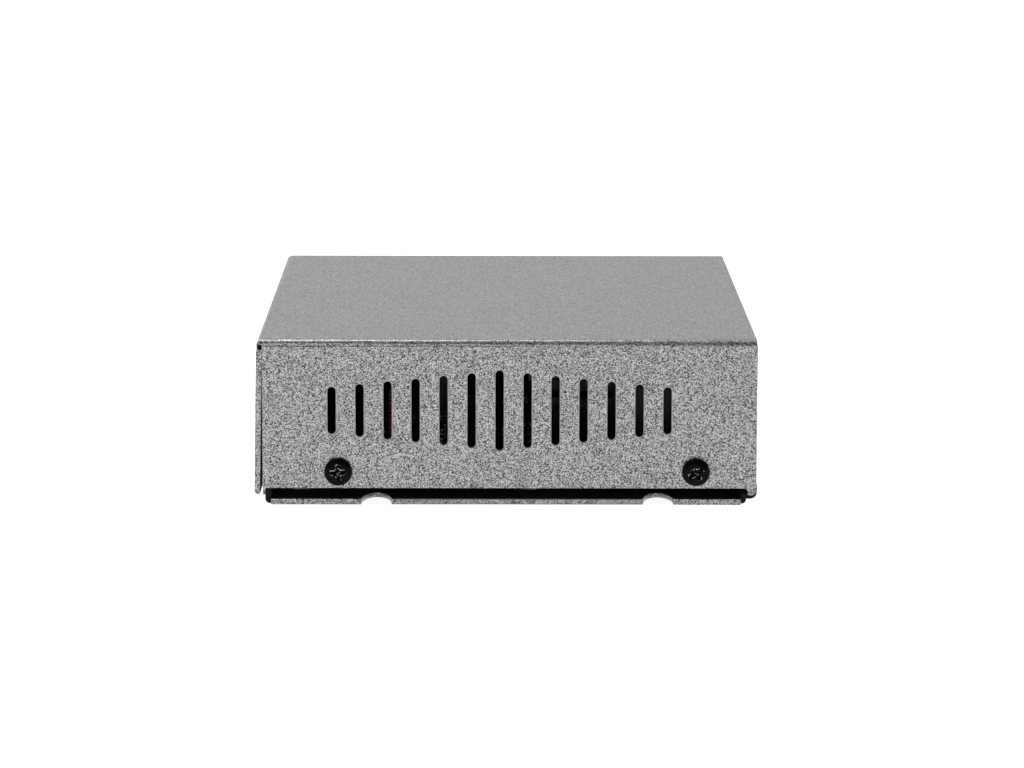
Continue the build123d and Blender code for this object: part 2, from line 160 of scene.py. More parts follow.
# The floor is a hair below the case, so that the two surfaces don't mix. It curves up behind
FLOOR_GAP = 0.05 * MM
BACKDROP_START = 2.5
BACKDROP_RADIUS = 1.2
BACKDROP_STEPS = 16
WHITE = (1.0, 1.0, 1.0, 1.0)

# The floor's own glow, low down and at the height named
FLOOR_GLOW = 0.9
BACKDROP_GLOW = 0.45
BACKDROP_GLOW_HEIGHT = 1.5

# The studio: what falls from all round, and the pale walls that glossy surfaces mirror, which
# fade out between two heights
SKY_GLOW = 0.13
WALL_GLOW = 0.4
WALL_FADE = (0.15, 0.45)

# Each lamp's size and place. They all aim at the case
KEY_LAMP = (0.8, (-0.45, 0.35, 1.5))
FRONT_LAMP = (1.0, (-0.3, -1.6, 0.35))

# Case paint: near white on the rounded cut edges, partly cut edges under thin paint and partly a
# painted highlight; near black on the faces inside the case and the feet's recessed edges, a painted
# shade
EDGE_HIGHLIGHT_COLOUR = (0.95, 0.95, 0.96)
INSIDE_SHADE_COLOUR = (0.010, 0.010, 0.011)
PAINT_ROUGHNESS = 0.38
INSIDE_SHADE_ROUGHNESS = 0.9
PAINT_RELIEF = 0.015 * MM

# Black screws, and the steel where they are worn
SCREW_BLACKS = ((0.004, 0.004, 0.005), (0.008, 0.008, 0.009))
WORN_COLOUR = (0.85, 0.85, 0.84)
WEAR_SIZE = 0.7 * MM

# Circuit board: two greens of the mask, and the tracks
MASK_GREEN = (0.020, 0.13, 0.05, 1.0)
MASK_DEEP_GREEN = (0.016, 0.10, 0.04, 1.0)
TRACK_GREEN = (0.05, 0.24, 0.10, 1.0)

# The other finishes: colour, how metallic, the range of the roughness, and where they differ from
# the usual, how many marks of the mottle fit in a metre, how strong it is and its relief in mm
PLAIN_FINISHES = {
    "plated_steel": ((0.62, 0.62, 0.60), 1.0, (0.22, 0.34)),
    "shield_metal": ((0.46, 0.46, 0.45), 1.0, (0.32, 0.48), 1500.0, 0.08),
    "socket_plastic": ((0.022, 0.022, 0.024), 0.0, (0.42, 0.58), 2500.0),
    "contact_gold": ((0.83, 0.60, 0.22), 1.0, (0.18, 0.28), 4000.0, 0.06),
    "lamp_lens": ((0.62, 0.80, 0.58), 0.0, (0.08, 0.16), 4000.0, 0.05),
    "lamp_black": ((0.007, 0.007, 0.008), 0.0, (0.45, 0.6)),
    "module_black": ((0.010, 0.010, 0.011), 0.0, (0.4, 0.55)),
    "chip_black": ((0.02, 0.02, 0.02), 0.0, (0.5, 0.62), 6000.0),
    "pad_grey": ((0.42, 0.45, 0.48), 0.0, (0.7, 0.8)),
    "sink_black": ((0.012, 0.012, 0.013), 0.7, (0.42, 0.55), 2500.0),
    "ferrite": ((0.05, 0.05, 0.055), 0.1, (0.5, 0.7), 5000.0, 0.25, 0.01),
    "coil_tape": ((0.72, 0.47, 0.06), 0.0, (0.2, 0.32), 600.0),
    "inductor_grey": ((0.16, 0.16, 0.17), 0.1, (0.5, 0.65), 5000.0),
    "can_aluminium": ((0.74, 0.74, 0.75), 1.0, (0.28, 0.4), 1500.0),
    "sleeve_film": ((0.02, 0.02, 0.035), 0.0, (0.18, 0.3)),
    "chip_ceramic": ((0.05, 0.045, 0.04), 0.0, (0.3, 0.45), 5000.0),
}
LENS_CLEARNESS = 0.25


# Sizes and colours that a user would change


class CasePaintSettings(bpy.types.PropertyGroup):
    colour: FloatVectorProperty(
        name="Paint", description="Grey of the metallic paint", subtype="COLOR",
        size=3, min=0.0, max=1.0, default=(0.37, 0.37, 0.375),
    )
    grain: FloatProperty(
        name="Grain", description="Size of the flakes in the paint",
        default=0.15 * MM, min=0.05 * MM, max=2 * MM, subtype="DISTANCE", unit="LENGTH",
    )
    contrast: FloatProperty(
        name="Contrast", description="How much the flakes differ in tone",
        default=0.87, min=0.0, max=1.0, subtype="FACTOR",
    )
    # Less flake contrast on level faces is painted light: it stands in for the even reflection that a
    # level top shows when seen from low down, not for paint that lay level
    level_face_contrast: FloatProperty(
        name="Levelling", description="Share of the contrast that is left where the paint lay level",
        default=0.6, min=0.0, max=1.0, subtype="FACTOR",
    )
    metal: FloatProperty(
        name="Metal", description="How metallic the paint is",
        default=0.6, min=0.0, max=1.0, subtype="FACTOR",
    )
    edge: FloatProperty(
        name="Edge", description="Rounding that the paint gives to the cut edges of the sheet",
        default=0.15 * MM, min=0.01 * MM, max=0.4 * MM, subtype="DISTANCE", unit="LENGTH",
    )


class ScrewSettings(bpy.types.PropertyGroup):
    recess: FloatProperty(
        name="Recess", description="Depth of the cross recess in a screw head",
        default=1.15 * MM, min=0.2 * MM, max=3 * MM, subtype="DISTANCE", unit="LENGTH",
    )
    steps: IntProperty(
        name="Steps", description="Corners round a screw head", default=48, min=12, max=128,
    )


class ChokeSettings(bpy.types.PropertyGroup):
    turns: IntProperty(name="Turns", description="Turns of wire on the ring", default=40, min=4, max=60)
    wire: FloatProperty(
        name="Wire", description="Diameter of the enamelled wire",
        default=0.6 * MM, min=0.1 * MM, max=2 * MM, subtype="DISTANCE", unit="LENGTH",
    )
    colour: FloatVectorProperty(
        name="Enamel", description="Colour of the enamel on the wire", subtype="COLOR",
        size=3, min=0.0, max=1.0, default=(0.90, 0.24, 0.09),
    )


class StageSettings(bpy.types.PropertyGroup):
    floor_size: FloatProperty(
        name="Floor", description="Width of the floor", default=12.0, min=1.0, max=60.0,
        subtype="DISTANCE", unit="LENGTH",
    )
    key_power: FloatProperty(
        name="Key", description="Power of the large lamp above and behind", default=15.0,
        min=0.0, max=200.0, unit="POWER",
    )
    front_power: FloatProperty(
        name="Front", description="Power of the low lamp in front", default=1.15,
        min=0.0, max=200.0, unit="POWER",
    )


class ExtenderSettings(bpy.types.PropertyGroup):
    paint: PointerProperty(type=CasePaintSettings, name="Paint", description="Case paint")
    screws: PointerProperty(type=ScrewSettings, name="Screws", description="Screws")
    choke: PointerProperty(type=ChokeSettings, name="Choke", description="Wound ring on the board")
    stage: PointerProperty(type=StageSettings, name="Stage", description="Floor and lamps")


def settings():
    return bpy.context.scene.extender


# Materials


def new_material(name):
    """A material with an empty node tree, its shader and its output."""
    material = bpy.data.materials.new(name)
    material.use_nodes = True
    tree = material.node_tree
    tree.nodes.clear()
    output = tree.nodes.new("ShaderNodeOutputMaterial")
    shader = tree.nodes.new("ShaderNodeBsdfPrincipled")
    tree.links.new(shader.outputs["BSDF"], output.inputs["Surface"])
    return material, tree, shader


def noise(tree, scale):
    """Noise over the object's own coordinates, whose features are 1 / scale metres across."""
    place = tree.nodes.new("ShaderNodeTexCoord")
    texture = tree.nodes.new("ShaderNodeTexNoise")
    texture.inputs["Scale"].default_value = scale
    texture.inputs["Detail"].default_value = 2.0
    texture.inputs["Roughness"].default_value = 0.5
    tree.links.new(place.outputs["Object"], texture.inputs["Vector"])
    return texture.outputs["Fac"]


def flakes(tree, size):
    """A random value for each small cell of the surface."""
    place = tree.nodes.new("ShaderNodeTexCoord")
    texture = tree.nodes.new("ShaderNodeTexVoronoi")
    texture.inputs["Scale"].default_value = 1.0 / size
    texture.inputs["Randomness"].default_value = 1.0
    tree.links.new(place.outputs["Object"], texture.inputs["Vector"])
    split = tree.nodes.new("ShaderNodeSeparateColor")
    tree.links.new(texture.outputs["Color"], split.inputs["Color"])
    return split.outputs["Red"]


def ramp(tree, value, low, high, start=0.35, end=0.65):
    """Blends from one colour to another as value goes from start to end."""
    node = tree.nodes.new("ShaderNodeValToRGB")
    node.color_ramp.elements[0].position = start
    node.color_ramp.elements[0].color = (*low[:3], 1.0)
    node.color_ramp.elements[1].position = end
    node.color_ramp.elements[1].color = (*high[:3], 1.0)
    tree.links.new(value, node.inputs["Fac"])
    return node.outputs["Color"]


def span(tree, value, low, high, start=0.0, end=1.0):
    """Maps a value from start..end to low..high."""
    node = tree.nodes.new("ShaderNodeMapRange")
    node.inputs["From Min"].default_value = start
    node.inputs["From Max"].default_value = end
    node.inputs["To Min"].default_value = low
    node.inputs["To Max"].default_value = high
    tree.links.new(value, node.inputs["Value"])
    return node.outputs["Result"]


def bump(tree, shader, height, distance):
    """Gives the shader a relief of that depth from a height of 0 to 1."""
    node = tree.nodes.new("ShaderNodeBump")
    node.inputs["Strength"].default_value = 1.0
    node.inputs["Distance"].default_value = distance
    tree.links.new(height, node.inputs["Height"])
    tree.links.new(node.outputs["Normal"], shader.inputs["Normal"])


def calc(tree, operation, *values):
    """A math node on sockets or plain numbers, and its result."""
    node = tree.nodes.new("ShaderNodeMath")
    node.operation = operation
    for socket, value in zip(node.inputs, values):
        if isinstance(value, bpy.types.NodeSocket):
            tree.links.new(value, socket)
        else:
            socket.default_value = value
    return node.outputs[0]


def blend(tree, share, colour, other):
    """A colour socket, and by its share another colour over it."""
    node = tree.nodes.new("ShaderNodeMix")
    node.data_type = "RGBA"
    sockets = {socket.identifier: socket for socket in node.inputs}
    tree.links.new(share, sockets["Factor_Float"])
    tree.links.new(colour, sockets["A_Color"])
    sockets["B_Color"].default_value = (*other, 1.0)
    return next(socket for socket in node.outputs if socket.identifier == "Result_Color")


def mark(tree, name):
    """The piece's own mark of that name: 1 where its faces are marked, and 0 elsewhere."""
    node = tree.nodes.new("ShaderNodeAttribute")
    node.attribute_name = name
    return node.outputs["Fac"]


def tone(colour, factor):
    """The colour made lighter or darker."""
    return tuple(min(1.0, channel * factor) for channel in colour)


def plain_finish(name, colour, metallic, roughness, grain=4000.0, variation=0.12, lift=0.004):
    """A finish with a faint mottle in its tone, its gloss and its surface."""
    material, tree, shader = new_material(name)
    fine = noise(tree, grain)
    broad = noise(tree, grain / 25)
    both = calc(tree, "MULTIPLY_ADD", fine, 0.5, span(tree, broad, 0.0, 0.5))
    low, high = tone(colour, 1 - variation), tone(colour, 1 + variation)
    tree.links.new(ramp(tree, both, low, high), shader.inputs["Base Color"])
    tree.links.new(span(tree, broad, *roughness, start=0.3, end=0.7), shader.inputs["Roughness"])
    shader.inputs["Metallic"].default_value = metallic
    bump(tree, shader, fine, lift * MM)
    return material


def case_paint():
    """Grey metallic paint: flakes of many tones under a thin clear film."""
    paint = settings().paint
    material, tree, shader = new_material("case_paint")
    flake = flakes(tree, paint.grain)
    normal = tree.nodes.new("ShaderNodeNewGeometry")
    split = tree.nodes.new("ShaderNodeSeparateXYZ")
    tree.links.new(normal.outputs["Normal"], split.inputs["Vector"])
    # Flakes lose contrast on faces that look up: painted light, for the even reflection of a level top
    facing_contrast = span(tree, split.outputs["Z"], 1.0, paint.level_face_contrast, start=0.5)
    spread = calc(tree, "MULTIPLY_ADD", calc(tree, "SUBTRACT", flake, 0.5), facing_contrast, 0.5)
    low = tone(paint.colour, 1 - paint.contrast)
    high = tone(paint.colour, 1 + paint.contrast)
    grain = ramp(tree, spread, low, high, 0.2, 0.8)
    rim, lining = mark(tree, "rim"), mark(tree, "lining")
    # Near white on the rounded edges: partly thin paint on the cut edges, partly a painted highlight
    edge_highlighted = blend(tree, rim, grain, EDGE_HIGHLIGHT_COLOUR)
    # Near black on the faces inside the case and the feet's recessed edges: painted shade
    tree.links.new(blend(tree, lining, edge_highlighted, INSIDE_SHADE_COLOUR), shader.inputs["Base Color"])
    roughness = span(tree, lining, PAINT_ROUGHNESS, INSIDE_SHADE_ROUGHNESS)
    tree.links.new(roughness, shader.inputs["Roughness"])
    # Neither the painted highlight on the edges nor the painted shade inside the case is metallic
    shade_and_highlight = calc(tree, "MAXIMUM", lining, rim)
    tree.links.new(span(tree, shade_and_highlight, paint.metal, 0.0), shader.inputs["Metallic"])
    bump(tree, shader, noise(tree, 1 / (1.5 * paint.grain)), PAINT_RELIEF)
    return material


def screw_black():
    """Black finish on the side screws, worn through to bright steel here and there on an edge."""
    material, tree, shader = new_material("screw_black")
    mottle = noise(tree, 2500.0)
    black = ramp(tree, mottle, *SCREW_BLACKS)
    patches = span(tree, noise(tree, 1 / WEAR_SIZE), 0.0, 1.0, start=0.50, end=0.56)
    worn = calc(tree, "MULTIPLY", mark(tree, "rim"), patches)
    tree.links.new(blend(tree, worn, black, WORN_COLOUR), shader.inputs["Base Color"])
    tree.links.new(span(tree, mottle, 0.14, 0.24), shader.inputs["Roughness"])
    tree.links.new(worn, shader.inputs["Metallic"])
    shader.inputs["Specular IOR Level"].default_value = 0.06
    bump(tree, shader, mottle, 0.003 * MM)
    return material


def circuit_board():
    """Green solder mask, with the copper tracks showing as paler lines under it."""
    material, tree, shader = new_material("board_green")
    place = tree.nodes.new("ShaderNodeTexCoord")
    tracks = tree.nodes.new("ShaderNodeTexBrick")
    tracks.inputs["Color1"].default_value = MASK_GREEN
    tracks.inputs["Color2"].default_value = MASK_DEEP_GREEN
    tracks.inputs["Mortar"].default_value = TRACK_GREEN
    tracks.inputs["Scale"].default_value = 110.0
    tracks.inputs["Mortar Size"].default_value = 0.03
    tracks.inputs["Mortar Smooth"].default_value = 0.2
    tree.links.new(place.outputs["Object"], tracks.inputs["Vector"])
    tree.links.new(tracks.outputs["Color"], shader.inputs["Base Color"])
    tree.links.new(span(tree, noise(tree, 900.0), 0.55, 0.68), shader.inputs["Roughness"])
    shader.inputs["Specular IOR Level"].default_value = 0.15
    bump(tree, shader, tracks.outputs["Fac"], 0.03 * MM)
    return material


def make_materials():
    """The finish of each slot in the record."""
    finishes = {name: plain_finish(name, *look) for name, look in PLAIN_FINISHES.items()}
    lens = finishes["lamp_lens"].node_tree.nodes["Principled BSDF"]
    lens.inputs["Transmission Weight"].default_value = LENS_CLEARNESS
    enamel = settings().choke.colour
    finishes["enamel_wire"] = plain_finish("enamel_wire", enamel, 0.15, (0.15, 0.25), 3000.0)
    finishes["case_paint"] = case_paint()
    finishes["screw_black"] = screw_black()
    finishes["board_green"] = circuit_board()
    return finishes


def set_finish(obj, material):
    obj.data.materials.clear()
    obj.data.materials.append(material)


# Meshes


def new_piece(name, mesh, slot):
    """A finished piece that rides on the case, with its slot's finish."""
    obj = bpy.data.objects.new(name, mesh)
    bpy.context.scene.collection.objects.link(obj)
    set_finish(obj, bpy.data.materials[slot])
    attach(obj, BODY)
    return obj


def mesh_from(shape, name):
    """A mesh from an edit mesh, which is freed."""
    mesh = bpy.data.meshes.new(name)
    shape.to_mesh(mesh)
    shape.free()
    return mesh


def evaluated_mesh(obj):
    """The object's mesh with its modifiers applied."""
    graph = bpy.context.evaluated_depsgraph_get()
    return bpy.data.meshes.new_from_object(obj.evaluated_get(graph))


def mark_faces(mesh, name, chosen):
    """Marks faces of a mesh for its material to read."""
    marks = mesh.attributes.new(name, "FLOAT", "FACE")
    marks.data.foreach_set("value", [float(choice) for choice in chosen])


def weigh_edges(shape):
    """Gives bevel weight to a sheet's sharp edges, apart from those of the small folds at its foot."""
    weights = shape.edges.layers.float.new("bevel_weight_edge")
    foot_x = cad_high.x - FOOT_LENGTH
    for edge in shape.edges:
        at_foot = any(abs(v.co.x) > foot_x and v.co.z < FOOT_TOP for v in edge.verts)
        if len(edge.link_faces) == 2 and edge.calc_face_angle() > EDGE_ANGLE and not at_foot:
            edge[weights] = 1.0


def rounded_mesh(obj, width, limit):
    """The object's mesh with its sharp edges rounded, and with those roundings marked."""
    for _ in range(2):
        obj.data.materials.append(None)
    bevel = obj.modifiers.new("edge", "BEVEL")
    bevel.width = width
    bevel.segments = 2
    bevel.limit_method = limit
    bevel.angle_limit = EDGE_ANGLE
    bevel.material = 1
    bevel.use_clamp_overlap = False
    mesh = evaluated_mesh(obj)
    mark_faces(mesh, "rim", [polygon.material_index == 1 for polygon in mesh.polygons])
    for polygon in mesh.polygons:
        polygon.material_index = 0
    return mesh


def find_strays(mesh, surface, reach):
    """The vertices that a rounding moved off the sheet, each with how far away they are."""
    nearest = [(vertex.co, surface.find_nearest(vertex.co)[3]) for vertex in mesh.vertices]
    return [(place, gap) for place, gap in nearest if gap > reach]


def sharpen_near(shape, strays):
    """Takes the bevel weight off the edges that end near a stray vertex."""
    weights = shape.edges.layers.float["bevel_weight_edge"]
    for place, gap in strays:
        radius = STRAY_SHARE * gap + STRAY_ROOM
        for vertex in shape.verts:
            if (vertex.co - place).length < radius:
                for edge in vertex.link_edges:
                    edge[weights] = 0.0


def rounded_sheet(shape, name, width):
    """A sheet's mesh with its edges rounded, except where a rounding would leave the sheet."""
    surface = BVHTree.FromBMesh(shape)
    for _ in range(STRAY_ROUNDS):
        obj = bpy.data.objects.new(name, mesh_from(shape.copy(), name))
        bpy.context.scene.collection.objects.link(obj)
        result = rounded_mesh(obj, width, "WEIGHT")
        bpy.data.objects.remove(obj)
        strays = find_strays(result, surface, STRAY_REACH * width)
        if not strays:
            shape.free()
            return result
        sharpen_near(shape, strays)
    raise RuntimeError(f"{name}: the rounding of an edge leaves the sheet")


def gets_inside_shade(polygon, high):
    """Whether a face of the cover or the tray gets the painted shade: it looks into the case, or is a
    foot's recessed edge in shadow.
    """
    probe = polygon.center + polygon.normal * PROBE
    inner_x = cad_high.x - SHEET + EDGE_SLACK
    inner_y = high.y - SHEET + EDGE_SLACK
    within = abs(probe.x) < inner_x and abs(probe.y) < inner_y
    floor_top = abs(polygon.center.z - SHEET) < WELD and polygon.normal.z > FLAT_LIMIT
    # A foot's recessed cut edge lies in shadow, so it gets the painted shade too
    foot_edge = abs(polygon.normal.y) > FLAT_LIMIT and polygon.center.z < FOOT_TOP
    foot_edge = foot_edge and abs(polygon.center.y) < high.y - SHEET
    return floor_top or foot_edge or (within and SHEET < probe.z < high.z - SHEET)


def corner_normal(polygon, neighbours):
    """A bend's or rounded edge's normal at a corner: that of a flat face beside it, if there is one."""
    near = [p for p in neighbours if p.normal.dot(polygon.normal) > SMOOTH_LIMIT]
    flats = [p for p in near if lies_flat(p)]
    total = sum((p.normal * p.area for p in flats or near), Vector())
    return total.normalized()


def lies_flat(polygon):
    """Whether a face looks straight along an axis."""
    return max(abs(part) for part in polygon.normal) > FLAT_LIMIT


def soften(mesh):
    """Flat faces keep their own normals, and bends and rounded edges run smoothly into them."""
    mesh.shade_smooth()
    neighbours = [[] for _ in mesh.vertices]
    for polygon in mesh.polygons:
        for vertex in polygon.vertices:
            neighbours[vertex].append(polygon)
    normals = [Vector((0, 0, 1))] * len(mesh.loops)
    for polygon in mesh.polygons:
        flat = lies_flat(polygon)
        for loop in polygon.loop_indices:
            around = neighbours[mesh.loops[loop].vertex_index]
            normals[loop] = polygon.normal if flat else corner_normal(polygon, around)
    mesh.normals_split_custom_set(normals)


def new_tree(name, inputs):
    """A geometry tree with the named inputs, and its input and output nodes."""
    tree = bpy.data.node_groups.new(name, "GeometryNodeTree")
    face = tree.interface
    face.new_socket("Geometry", in_out="INPUT", socket_type="NodeSocketGeometry")
    for label, kind in inputs.items():
        face.new_socket(label, in_out="INPUT", socket_type=f"NodeSocket{kind}")
    face.new_socket("Geometry", in_out="OUTPUT", socket_type="NodeSocketGeometry")
    return tree, tree.nodes.new("NodeGroupInput"), tree.nodes.new("NodeGroupOutput")


def finish_tree(tree, given, result, geometry):
    """Ends a tree: the instances become real and take the material that was given."""
    real = tree.nodes.new("GeometryNodeRealizeInstances")
    paint = tree.nodes.new("GeometryNodeSetMaterial")
    tree.links.new(geometry, real.inputs["Geometry"])
    tree.links.new(real.outputs["Geometry"], paint.inputs["Geometry"])
    tree.links.new(given.outputs["Material"], paint.inputs["Material"])
    tree.links.new(paint.outputs["Geometry"], result.inputs["Geometry"])


def grow(name, base, tree, values, slot):
    """The piece that a geometry tree makes from a base mesh, as a plain mesh."""
    obj = bpy.data.objects.new(name, base)
    bpy.context.scene.collection.objects.link(obj)
    modifier = obj.modifiers.new(tree.name, "NODES")
    modifier.node_group = tree
    given = {**values, "Material": bpy.data.materials[slot]}
    for item in tree.interface.items_tree:
        if item.in_out == "INPUT" and item.name in given:
            modifier[item.identifier] = given[item.name]
    obj.update_tag()
    mesh = evaluated_mesh(obj)
    mesh.name = name
    bpy.data.objects.remove(obj)
    return new_piece(name, mesh, slot)


def turned(profile, steps):
    """An edit mesh of a profile of (radius, height) turned round Z, closed at both ends."""
    shape = bmesh.new()
    rings = []
    for radius, height in profile:
        if radius == 0:
            rings.append([shape.verts.new((0, 0, height))] * steps)
            continue
        angles = [2 * math.pi * i / steps for i in range(steps)]
        rings.append(
            [shape.verts.new((radius * math.cos(a), radius * math.sin(a), height)) for a in angles]
        )
    for low, high in zip(rings, rings[1:]):
        for i in range(steps):
            j = (i + 1) % steps
            corners = []
            for vertex in (low[i], low[j], high[j], high[i]):
                if vertex not in corners:
                    corners.append(vertex)
            shape.faces.new(corners)
    return shape


def tapered_bar(length, width, depth, top, turn):
    """An edit mesh of one bar of the cross recess, narrower at its foot."""
    shape = bmesh.new()
    bmesh.ops.create_cube(shape, size=1.0)
    for vertex in shape.verts:
        share = 1.0 if vertex.co.z > 0 else RECESS_TAPER
        vertex.co.x *= length * share
        vertex.co.y *= width * share
        vertex.co.z = top if vertex.co.z > 0 else top - depth
    shape.transform(Matrix.Rotation(turn, 4, "Z"))
    return shape


def screw_template(radius, length, head_radius, head_height):
    """A pan head screw along Z, its seat at 0, with a tapered cross recess."""
    crown = []
    for i in range(CROWN_STEPS):
        angle = math.pi / 2 * i / CROWN_STEPS
        share = CROWN_FOOT_SHARE + (1 - CROWN_FOOT_SHARE) * math.sin(angle)
        crown.append((head_radius * math.cos(angle) ** CROWN_BULGE, head_height * share))
    shank = [(0, -length), (radius * TIP_SHARE, -length), (radius, TIP_LENGTH - length), (radius, 0)]
    rim = [(head_radius - HEAD_EDGE, 0), (head_radius, HEAD_EDGE)]
    profile = [*shank, *rim, *crown, (0, head_height)]
    steps = settings().screws.steps
    head = template_object(mesh_from(turned(profile, steps), "screw"))
    depth = settings().screws.recess + HEAD_EDGE
    length = head_radius * RECESS_LENGTH_SHARE
    width = head_radius * RECESS_WIDTH_SHARE
    bars = []
    for turn in (0.0, math.pi / 2):
        bar = tapered_bar(length, width, depth, head_height + HEAD_EDGE, turn)
        cutter = template_object(mesh_from(bar, "recess_bar"))
        cut = head.modifiers.new("recess", "BOOLEAN")
        cut.operation = "DIFFERENCE"
        cut.solver = "EXACT"
        cut.object = cutter
        bars.append(cutter)
    mesh = rounded_mesh(head, RECESS_ROUND, "ANGLE")
    for old in (head, *bars):
        bpy.data.objects.remove(old)
    mesh.shade_smooth()
    mesh.set_sharp_from_angle(angle=SCREW_SMOOTH_ANGLE)
    return template_object(mesh)


def place_copies(name, places, template, slot):
    """A piece of copies of the template, one at each place and turn."""
    base = bpy.data.meshes.new(name)
    base.from_pydata([place for place, _ in places], [], [])
    turns = base.attributes.new("turn", "FLOAT_VECTOR", "POINT")
    for item, (_, turn) in zip(turns.data, places):
        item.vector = turn.to_euler()
    tree, given, result = new_tree("copies", {"Template": "Object", "Material": "Material"})
    copies = tree.nodes.new("GeometryNodeInstanceOnPoints")
    source = tree.nodes.new("GeometryNodeObjectInfo")
    turn = tree.nodes.new("GeometryNodeInputNamedAttribute")
    turn.data_type = "FLOAT_VECTOR"
    turn.inputs["Name"].default_value = "turn"
    tree.links.new(given.outputs["Template"], source.inputs["Object"])
    tree.links.new(given.outputs["Geometry"], copies.inputs["Points"])
    tree.links.new(source.outputs["Geometry"], copies.inputs["Instance"])
    tree.links.new(turn.outputs["Attribute"], copies.inputs["Rotation"])
    finish_tree(tree, given, result, copies.outputs["Instances"])
    piece = grow(name, base, tree, {"Template": template}, slot)
    bpy.data.objects.remove(template)
    return piece


def template_object(mesh):
    """A helper object of that mesh, which is removed once it has been used."""
    template = bpy.data.objects.new(mesh.name, mesh)
    bpy.context.scene.collection.objects.link(template)
    return template


def solid_boxes(node):
    """The lowest and highest corners of each separate solid in a node."""
    shape = bmesh.new()
    shape.from_mesh(frame["nodes"][node].data)
    bmesh.ops.remove_doubles(shape, verts=shape.verts, dist=WELD)
    shape.verts.ensure_lookup_table()
    unseen = set(shape.verts)
    boxes = []
    while unseen:
        waiting = [unseen.pop()]
        low, high = waiting[0].co.copy(), waiting[0].co.copy()
        while waiting:
            vertex = waiting.pop()
            low = Vector(map(min, low, vertex.co))
            high = Vector(map(max, high, vertex.co))
            near = {edge.other_vert(vertex) for edge in vertex.link_edges} & unseen
            unseen -= near
            waiting.extend(near)
        boxes.append((low, high))
    shape.free()
    return sorted(boxes, key=lambda box: tuple(box[0]))


def lead_template(width, rise):
    """A gull-wing lead that leaves a body at the origin along X, and stands on z = 0."""
    half = LEAD_THICKNESS / 2
    line = (
        (-LEAD_SINK, rise), (0.28 * LEAD_REACH, rise), (0.40 * LEAD_REACH, 0.8 * rise),
        (0.52 * LEAD_REACH, half + 0.1 * rise), (0.62 * LEAD_REACH, half), (LEAD_REACH, half),
    )
    shape = bmesh.new()
    rings = []
    for x, z in line:
        corners = ((-1, -1), (1, -1), (1, 1), (-1, 1))
        rings.append([shape.verts.new((x, a * width / 2, z + b * half)) for a, b in corners])
    for ring, following in zip(rings, rings[1:]):
        for i in range(4):
            j = (i + 1) % 4
            shape.faces.new((ring[i], ring[j], following[j], following[i]))
    shape.faces.new(reversed(rings[0]))
    shape.faces.new(rings[-1])
    bmesh.ops.recalc_face_normals(shape, faces=shape.faces)
    return template_object(mesh_from(shape, "lead"))


def lead_places(boxes, axis, count, pitch):
    """Where the leads leave both sides of each body, and which way they point."""
    places = []
    for low, high in boxes:
        middle = (low + high) / 2
        for side, direction in ((high, 1), (low, -1)):
            turn = 0.0 if direction > 0 else math.pi
            for i in range(count):
                step = (i - (count - 1) / 2) * pitch
                if axis == "X":
                    place = (side.x, middle.y + step, low.z)
                else:
                    place = (middle.x + step, side.y, low.z)
                turned = turn + (math.pi / 2 if axis == "Y" else 0.0)
                places.append((place, Matrix.Rotation(turned, 3, "Z")))
    return places


def cap_template(size):
    """A tinned end cap, standing on z = 0, with rounded edges."""
    shape = bmesh.new()
    bmesh.ops.create_cube(shape, size=1.0)
    for vertex in shape.verts:
        vertex.co.z += 0.5
        vertex.co *= size
    bmesh.ops.bevel(
        shape, geom=shape.edges, offset=CAP_ROUND, segments=3, affect="EDGES", profile=0.5
    )
    mesh = mesh_from(shape, "cap")
    mesh.shade_smooth()
    return template_object(mesh)


